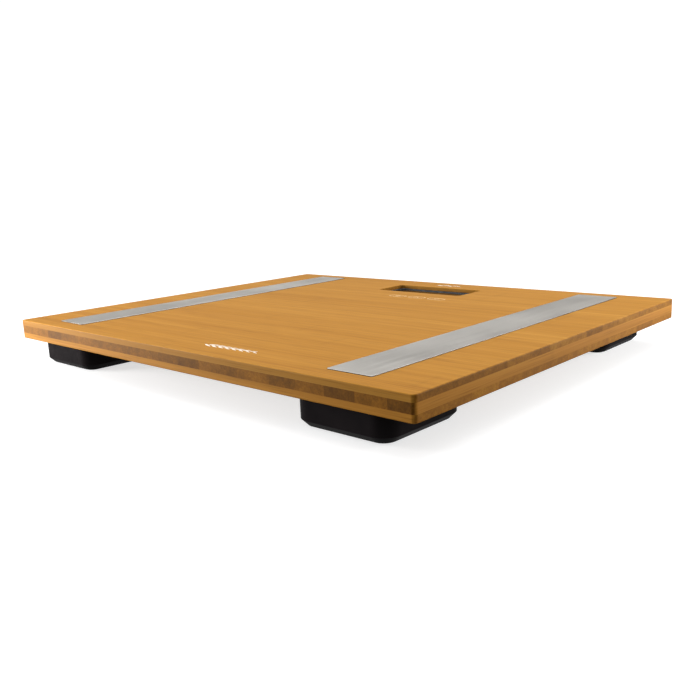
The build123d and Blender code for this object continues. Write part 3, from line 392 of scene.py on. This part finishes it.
def cell_jacket(name, node, raised):
    """A dry cell along X. raised is the side, 1 or -1, of its raised end, where the jacket has a copper
    band."""
    material, tree, shader = new_material(name, IOR=1.5)
    low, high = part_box(node)
    place = add(tree, "TexCoord", {}, {})
    x = add(tree, "SeparateXYZ", {}, {0: place.outputs["Object"]}).outputs["X"]
    length = high.x - low.x
    first, last = (low.x, high.x) if raised > 0 else (high.x, low.x)
    along = add(tree, "MapRange", {}, {"Value": x, "From Min": first, "From Max": last}).outputs[0]
    nub = 1.2 * MM / length
    wrap = ramp(tree, along, [
        (0.0, "#B9B7B2"), (0.25 * nub, "#1D2A4D"), (0.70, "#1D2A4D"), (0.705, "#B4713A"),
        (1 - nub, "#B4713A"), (1 - 0.75 * nub, "#C9C7C1")])
    wrap.node.color_ramp.interpolation = "CONSTANT"
    scuff = add(tree, "TexNoise", {}, {
        "Vector": place.outputs["Object"], "Scale": 1 / (3 * MM), "Detail": 3.0})
    worn = add(tree, "MapRange", {}, {"Value": scuff.outputs["Fac"], "To Min": 0.75, "To Max": 1.1})
    grey = add(tree, "CombineColor", {}, {
        "Red": worn.outputs[0], "Green": worn.outputs[0], "Blue": worn.outputs[0]}).outputs[0]
    final = add(tree, "Mix", {"data_type": "RGBA", "blend_type": "MULTIPLY"}, {
        "Factor": 1.0, "A": wrap, "B": grey})
    tree.links.new(final.outputs["Result"], shader.inputs["Base Color"])
    metal = add(tree, "Math", {"operation": "GREATER_THAN"}, {0: along, 1: 1 - nub})
    tree.links.new(metal.outputs[0], shader.inputs["Metallic"])
    rough = add(tree, "MapRange", {}, {"Value": scuff.outputs["Fac"], "To Min": 0.25, "To Max": 0.45})
    tree.links.new(rough.outputs[0], shader.inputs["Roughness"])
    return material


finish["board_green"] = solder_mask("green_solder_mask", "#0F4A26", "#1B6A38", 1.3)
finish["bamboo_face"] = bamboo_top
finish["bamboo_core"] = bamboo_core
finish["stainless_strip"] = steel_strip
finish["zinc_steel"] = zinc
finish["spring_steel"] = spring
finish["tinned_copper"] = tin
own_finish = {
    "bottom_ply": bamboo_low,
    "battery_front": cell_jacket("dry_cell_jacket_front", "battery_front", 1),
    "battery_back": cell_jacket("dry_cell_jacket_back", "battery_back", -1),
}

# %% [markdown]
# ## Dress every part
# The assembly's record says which finish each part has. The loop gives each part the material of that name,
# unless the part has one of its own.

# %% Finish by part
slot_of = {part["node"]: part["material_slot"] for part in frame["record"]["subparts"]}
for name, part in frame["nodes"].items():
    material = own_finish[name] if name in own_finish else finish[slot_of[name]]
    part.data.materials.clear()
    part.data.materials.append(material)
print(len(slot_of), "parts dressed in", len(set(slot_of.values())), "finishes")

# %% [markdown]
# ## Surfaces from formulas
# Everything added to the assembly is worked out as whole arrays: a shape is a function of two parameters on
# a grid. One helper turns grids into a mesh; a grid can be closed on itself, as a ring is. Printed ink is a
# film, so its grids are flat, and Solidify gives them the few hundredths of a millimetre that silk-screen
# ink stands proud.

# %% Grids into meshes
def grid_faces(rows, columns, ring=False):
    """Quads of a grid of rows by columns points. A ring also joins the last row to the first."""
    index = np.arange(rows * columns).reshape(rows, columns)
    if ring:
        index = np.vstack([index, index[:1]])
    quads = np.stack([index[:-1, :-1], index[1:, :-1], index[1:, 1:], index[:-1, 1:]], axis=-1)
    return quads.reshape(-1, 4)


def new_object(name, points, faces, material):
    """A mesh object from points and faces, put in the scene with one material."""
    mesh = bpy.data.meshes.new(name)
    mesh.from_pydata(points.tolist(), [], faces)
    mesh.materials.append(material)
    made = bpy.data.objects.new(name, mesh)
    bpy.context.scene.collection.objects.link(made)
    return made


def ink_film(name, patches, material, thickness=0.04 * MM):
    """Flat (points, faces) patches made one closed film that stands on the surface below it."""
    starts = np.cumsum([0] + [len(points) for points, _ in patches])
    points = np.vstack([points for points, _ in patches])
    faces = np.vstack([quads + start for (_, quads), start in zip(patches, starts)]).tolist()
    film = new_object(name, points, faces, material)
    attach(film, "platform")
    solid = film.modifiers.new("film", "SOLIDIFY")
    solid.thickness = thickness
    solid.offset = 1.0
    print(name, len(film.data.polygons), "faces")
    return film


# %% [markdown]
# ## Printed marks
# The face carries three touch keys in front of the display and two small ornaments, silk-screened in pale
# ink. The ornaments are bamboo sprigs: a thin curved stem with slim leaves that bend to its side. A leaf's
# half width grows and shrinks as the sine of its length; a stem's is nearly even. The keys are pill-shaped
# outlines, one with a ring in it, one with a chevron up and one with a chevron down.

# %% Shapes of the marks
def blade(base, angle, length, width, bend, level, rows=18):
    """A leaf: a point at u along it lies on a parabola that leaves the base at an angle and sags by bend, and
    is moved across it by v times the half width, which is width / 2 times sin(pi u) to the power 0.8."""
    u, v = np.meshgrid(np.linspace(0.02, 0.99, rows), np.linspace(-1, 1, 5), indexing="ij")
    half = width / 2 * np.sin(np.pi * u) ** 0.8
    x = u * length
    y = bend * u * u + v * half
    turned_x = base[0] + x * math.cos(angle) - y * math.sin(angle)
    turned_y = base[1] + x * math.sin(angle) + y * math.cos(angle)
    points = np.stack([turned_x, turned_y, np.full_like(x, level)], axis=-1).reshape(-1, 3)
    return points, grid_faces(rows, 5)


def outline(centre, half_x, half_y, line, level, power=3.0, rows=72):
    """A closed line of even width round a superellipse: x is half_x times cos t to the signed power
    2 / power, and y is half_y times the same of sin t."""
    t, v = np.meshgrid(np.linspace(0, 2 * np.pi, rows, endpoint=False), np.array([-0.5, 0.5]), indexing="ij")
    cos, sin = np.cos(t), np.sin(t)
    x = (half_x + v * line) * np.sign(cos) * np.abs(cos) ** (2 / power)
    y = (half_y + v * line) * np.sign(sin) * np.abs(sin) ** (2 / power)
    points = np.stack([centre[0] + x, centre[1] + y, np.full_like(x, level)], axis=-1).reshape(-1, 3)
    return points, grid_faces(rows, 2, ring=True)[:, ::-1]


def chevron(centre, half_x, rise, line, level):
    """A bent bar: y is rise times (0.5 - |x| / half_x), plus v times the line's width."""
    u, v = np.meshgrid(np.linspace(-1, 1, 9), np.array([-0.5, 0.5]), indexing="ij")
    x = centre[0] + u * half_x
    y = centre[1] + rise * (0.5 - np.abs(u)) + v * line
    points = np.stack([x, y, np.full_like(x, level)], axis=-1).reshape(-1, 3)
    return points, grid_faces(9, 2)


def sprig(centre, length, leaf, count, level):
    """A stem along X with leaves on alternate sides, each shorter towards the tip."""
    left = centre[0] - length / 2
    stem_width, stem_rise = 0.7 * MM, 0.9 * MM
    patches = [blade((left, centre[1]), 0.0, length, stem_width, stem_rise, level, rows=24)]
    for i in range(count):
        share = (i + 0.6) / (count + 0.4)
        side = 1 if i % 2 else -1
        base = (left + share * length, centre[1] + stem_rise * share * share)
        size = leaf * (1.15 - 0.45 * share)
        patches.append(blade(base, side * 0.42, size, 0.15 * size, -side * 0.12 * size, level))
    return patches


# %% Ink and marks
def ink(name, colour, worn):
    """Silk-screen ink: a matt pale film, thinner where the fibres below stand up."""
    material, tree, shader = new_material(name, IOR=1.5, Specular_IOR_Level=0.2, Roughness=0.6)
    place = add(tree, "TexCoord", {}, {})
    thin = add(tree, "Mapping", {}, {"Vector": place.outputs["Object"], "Scale": (140.0, 2200.0, 2200.0)})
    patchy = add(tree, "TexNoise", {}, {"Vector": thin.outputs[0], "Scale": 1.0, "Detail": 3.0})
    tint = ramp(tree, patchy.outputs["Fac"], [(0.3, worn), (0.6, colour)])
    tree.links.new(tint, shader.inputs["Base Color"])
    return material


white_ink = ink("white_screen_ink", "#FBF4EA", "#EBD9BF")
cream_ink = ink("cream_screen_ink", "#EFD3A6", "#DDB67E")
ink_z = face_z + 0.01 * MM
front_mark = (touch_x + 17 * MM, ply_low.y + 16.2 * MM)
back_mark = (0.0, ply_high.y - 11.9 * MM)
ink_film("front_sprig", sprig(front_mark, 40 * MM, 6.5 * MM, 15, ink_z), white_ink)
ink_film("back_sprig", sprig(back_mark, 22 * MM, 6.0 * MM, 5, ink_z), white_ink)
key_pitch = 16.2 * MM
key_centres = [(touch_x + i * key_pitch, touch_y) for i in (-1, 0, 1)]
key_half_x, key_half_y, key_line = 6.4 * MM, 2.9 * MM, 0.45 * MM
ring_radius, ring_line = 1.3 * MM, 0.6 * MM
chevron_half, chevron_line = 2.0 * MM, 0.7 * MM
keys = [outline(centre, key_half_x, key_half_y, key_line, ink_z) for centre in key_centres]
keys.append(outline(key_centres[0], ring_radius, ring_radius, ring_line, ink_z, power=2.0, rows=36))
keys.append(chevron(key_centres[1], chevron_half, chevron_half, chevron_line, ink_z))
keys.append(chevron(key_centres[2], chevron_half, -chevron_half, chevron_line, ink_z))
ink_film("touch_key_marks", keys, cream_ink)

# %% [markdown]
# ## Sleeping digits
# With the power off, the segments of a display can still be made out as slightly darker bars in the glass.
# Each bar tapers at its ends so that neighbours meet at a mitre. Seven bars make a digit, and four digits
# fill the window.

# %% Display segments
def bar(start, end, line, level):
    """A segment: its half width is line / 2 times the lesser of 1 and 0.04 + 6 times the share of its length
    to the nearer end."""
    u, v = np.meshgrid(np.linspace(0, 1, 13), np.array([-1.0, 1.0]), indexing="ij")
    start, end = np.array(start), np.array(end)
    along = end - start
    normal = np.array([-along[1], along[0]]) / np.hypot(*along)
    half = line / 2 * np.minimum(1.0, 0.04 + 6 * np.minimum(u, 1 - u))
    flat = start + u[..., None] * along + (v * half)[..., None] * normal
    points = np.concatenate([flat, np.full_like(u, level)[..., None]], axis=-1).reshape(-1, 3)
    return points, grid_faces(13, 2)[:, ::-1]


def digit(centre, half_x, half_y, slant, line, level):
    """Seven bars between six corners. The slant moves a corner sideways by slant times its height."""
    spots = {}
    for row in (-1, 0, 1):
        for side in (-1, 1):
            y = row * half_y
            spots[side, row] = (centre[0] + side * half_x + slant * y, centre[1] + y)
    ends = [((-1, row), (1, row)) for row in (-1, 0, 1)]
    ends += [((side, row), (side, row + 1)) for side in (-1, 1) for row in (-1, 0)]
    return [bar(spots[a], spots[b], line, level) for a, b in ends]


segment_ink, segment_tree, segment_shader = new_material("display_segments", IOR=1.5, Roughness=0.3)
segment_place = add(segment_tree, "TexCoord", {}, {})
segment_noise = add(segment_tree, "TexNoise", {}, {"Vector": segment_place.outputs["Object"], "Scale": 900.0})
segment_tint = ramp(segment_tree, segment_noise.outputs["Fac"], [(0.3, "#20261F"), (0.7, "#2C332A")])
segment_tree.links.new(segment_tint, segment_shader.inputs["Base Color"])
digit_height = (glass_high.y - glass_low.y) * 0.56
digit_step = (glass_high.x - glass_low.x) * 0.21
segments = []
for i in range(4):
    spot = ((i - 1.5) * digit_step, window_y)
    segments += digit(spot, digit_height * 0.27, digit_height / 2, 0.12, 1.3 * MM, glass_high.z + 0.01 * MM)
ink_film("display_digits", segments, segment_ink)

# %% [markdown]
# ## Studded pads
# Each foot stands on a rubber pad moulded with rows of small domes that bite on tile. The pad's underside
# is a height field on a square grid: a flat rim, and inside it domes on a 3.4 mm pitch. The square's
# corners are squeezed onto quarter discs to round them. A wall and one flat face close it.

# %% Pads
def studded_pad(corner, pitch=3.4 * MM, depth=0.45 * MM, rim=2.2 * MM, round_off=4.4 * MM, count=109):
    """The underside at (x, y) rises by depth times (1 - dome) inside the rim, where dome is the smoothed
    positive part of cos(2 pi x / pitch) plus cos(2 pi y / pitch), less 0.7."""
    low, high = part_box("foot_pad_" + corner)
    half = (high.x - low.x) / 2
    centre = (low + high) / 2
    x, y = np.meshgrid(np.linspace(-half, half, count), np.linspace(-half, half, count), indexing="ij")
    over_x = np.maximum(np.abs(x) - (half - round_off), 0)
    over_y = np.maximum(np.abs(y) - (half - round_off), 0)
    squeeze = np.maximum(over_x, over_y) / np.maximum(np.hypot(over_x, over_y), 1e-9)
    shift_x = np.where(over_x > 0, over_x * (squeeze - 1), 0) * np.sign(x)
    shift_y = np.where(over_y > 0, over_y * (squeeze - 1), 0) * np.sign(y)
    wave = np.cos(2 * np.pi * x / pitch) + np.cos(2 * np.pi * y / pitch)
    dome = np.clip((wave - 0.7) / 1.3, 0, 1)
    dome = dome * dome * (3 - 2 * dome)
    inside = np.clip((half - rim - np.maximum(np.abs(x), np.abs(y))) / (0.8 * MM), 0, 1)
    x, y = x + shift_x, y + shift_y
    z = low.z + depth * (1 - dome) * inside
    under = np.stack([x + centre.x, y + centre.y, z], axis=-1)
    index = np.arange(count * count).reshape(count, count)
    ring = np.concatenate([index[:-1, 0], index[-1, :-1], index[:0:-1, -1], index[0, :0:-1]])
    points = under.reshape(-1, 3)
    upper = points[ring].copy()
    upper[:, 2] = high.z
    top = np.arange(len(ring)) + len(points)
    wall = np.stack([ring, np.roll(ring, -1), np.roll(top, -1), top], axis=-1)
    faces = grid_faces(count, count)[:, ::-1].tolist() + wall.tolist() + [top.tolist()]
    pad = new_object("studded_pad_" + corner, np.vstack([points, upper]), faces, finish["pad_rubber"])
    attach(pad, "foot_" + corner)
    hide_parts("foot_pad_" + corner)
    return pad


pads = [studded_pad(corner) for corner in corners]
print("studded pads:", [len(pad.data.polygons) for pad in pads], "faces")

# %% [markdown]
# ## The studio
# A pack shot is lit so that the ground vanishes. The floor is opal acrylic lit softly from below, as a
# light table is, with a broad soft light from above and a little behind. Past it hangs a white screen that
# only the camera sees, so it closes the picture without flooding the sides of the scale with light. The
# table's glow is kept off the sides in the same way. The sky that the parts reflect is bright overhead and
# dim near the horizon, and a small softbox stands near the left end and another near the right end, so that
# both long edges fade towards the near corner.

# %% Floor, screen and lights
def stage_disc(name, radius, level, material):
    """A round floor: one flat face whose rim is at radius times (cos t, sin t)."""
    turn = np.linspace(0, 2 * np.pi, 96, endpoint=False)
    rim = np.stack([radius * np.cos(turn), radius * np.sin(turn), np.full_like(turn, level)], axis=-1)
    made = new_object(name, rim, [list(range(96))], material)
    return made


def stage_dome(name, radius, level, material):
    """A dome round the stage, open at the bottom: x, y, z are radius times cos(a)cos(t), cos(a)sin(t) and
    sin(a), with the level added to z."""
    rise, turn = np.linspace(-0.05, 1.5, 24), np.linspace(0, 2 * np.pi, 96, endpoint=False)
    a, t = np.meshgrid(rise, turn, indexing="ij")
    x, y, z = radius * np.cos(a) * np.cos(t), radius * np.cos(a) * np.sin(t), radius * np.sin(a) + level
    points = np.stack([x, y, z], -1).reshape(-1, 3)
    index = np.arange(24 * 96).reshape(24, 96)
    index = np.hstack([index, index[:, :1]])
    quads = np.stack([index[:-1, :-1], index[1:, :-1], index[1:, 1:], index[:-1, 1:]], axis=-1).reshape(-1, 4)
    made = new_object(name, points, quads.tolist() + [index[-1, :-1].tolist()], material)
    return made


floor_finish = new_material(
    "opal_acrylic_table", Base_Color=(0.48, 0.48, 0.48, 1.0), Roughness=0.9, Specular_IOR_Level=0.0,
    Emission_Color=(1.0, 1.0, 1.0, 1.0), Emission_Strength=0.68)[0]
floor = stage_disc("floor", 7.0, -0.05 * MM, floor_finish)
floor.visible_diffuse = False
floor.visible_glossy = False
screen_finish = new_material(
    "white_screen", Base_Color=(0.0, 0.0, 0.0, 1.0), Specular_IOR_Level=0.0,
    Emission_Color=(1.0, 1.0, 1.0, 1.0), Emission_Strength=1.05)[0]
screen = stage_dome("screen", 6.5, -0.1 * MM, screen_finish)
screen.visible_diffuse = False
screen.visible_glossy = False
screen.visible_transmission = False
screen.visible_shadow = False

world = bpy.data.worlds.new("studio")
bpy.context.scene.world = world
world.use_nodes = True
sky = world.node_tree
direction = add(sky, "TexCoord", {}, {})
height = add(sky, "SeparateXYZ", {}, {0: direction.outputs["Generated"]})
rise = add(sky, "MapRange", {"interpolation_type": "SMOOTHSTEP"}, {
    "Value": height.outputs["Z"], "From Min": 0.0, "From Max": 0.9, "To Min": 0.16, "To Max": 0.80})
sky.nodes["Background"].inputs["Color"].default_value = (1.0, 1.0, 1.0, 1.0)
sky.links.new(rise.outputs[0], sky.nodes["Background"].inputs["Strength"])

key = bpy.data.lights.new("overhead_softbox", "SUN")
key.energy = 1.75
key.angle = math.radians(50)
key_object = bpy.data.objects.new("overhead_softbox", key)
key_object.rotation_mode = "QUATERNION"
key_object.rotation_quaternion = Vector((-0.35, 0.35, 1.0)).to_track_quat("Z", "Y")
bpy.context.scene.collection.objects.link(key_object)


def softbox(name, place, watts, side):
    """A square area light at a place in metres that faces the middle of the scale, unseen by the camera."""
    panel = bpy.data.lights.new(name, "AREA")
    panel.size = side
    panel.energy = watts
    stand = bpy.data.objects.new(name, panel)
    away = Vector(place).normalized()
    stand.location = Vector(place)
    stand.rotation_mode = "QUATERNION"
    stand.rotation_quaternion = away.to_track_quat("Z", "Y")
    stand.visible_camera = False
    bpy.context.scene.collection.objects.link(stand)
    return stand


softbox("left_softbox", (-0.36, -0.34, 0.07), 3.0, 0.16)
softbox("right_softbox", (0.42, 0.34, 0.09), 2.3, 0.2)
bpy.context.scene.view_settings.view_transform = "Standard"
print("studio: floor", floor.name, "screen", screen.name, "light", key_object.name)

# %% [markdown]
# ## The camera
# The camera stands low, a hand's breadth above the face, and looks along the diagonal from the front right
# corner. Its height, turn, tilt and roll are those of a person who crouches to look across the scale.

# %% Camera
azimuth, elevation, roll = math.radians(42.76), math.radians(12.31), math.radians(-2.455)
level_out = Vector((math.sin(azimuth), -math.cos(azimuth), 0.0))
back = math.cos(elevation) * level_out + Vector((0.0, 0.0, math.sin(elevation)))
level_right = Vector((math.cos(azimuth), math.sin(azimuth), 0.0))
level_up = back.cross(level_right)
right = math.cos(roll) * level_right + math.sin(roll) * level_up
up = -math.sin(roll) * level_right + math.cos(roll) * level_up
eye = Vector((329.70 * MM, -347.64 * MM, face_z + 78.06 * MM))
lens_data = bpy.data.cameras.new("camera")
lens_data.sensor_width = 36.0
lens_data.lens = 39.53
lens_data.clip_start = 0.01
lens_data.clip_end = 50.0
camera = bpy.data.objects.new("camera", lens_data)
camera.matrix_world = Matrix((
    (right.x, up.x, back.x, eye.x),
    (right.y, up.y, back.y, eye.y),
    (right.z, up.z, back.z, eye.z),
    (0, 0, 0, 1)))
bpy.context.scene.collection.objects.link(camera)
bpy.context.scene.camera = camera
print("camera stands", round(eye.length, 3), "m from the middle of the scale")
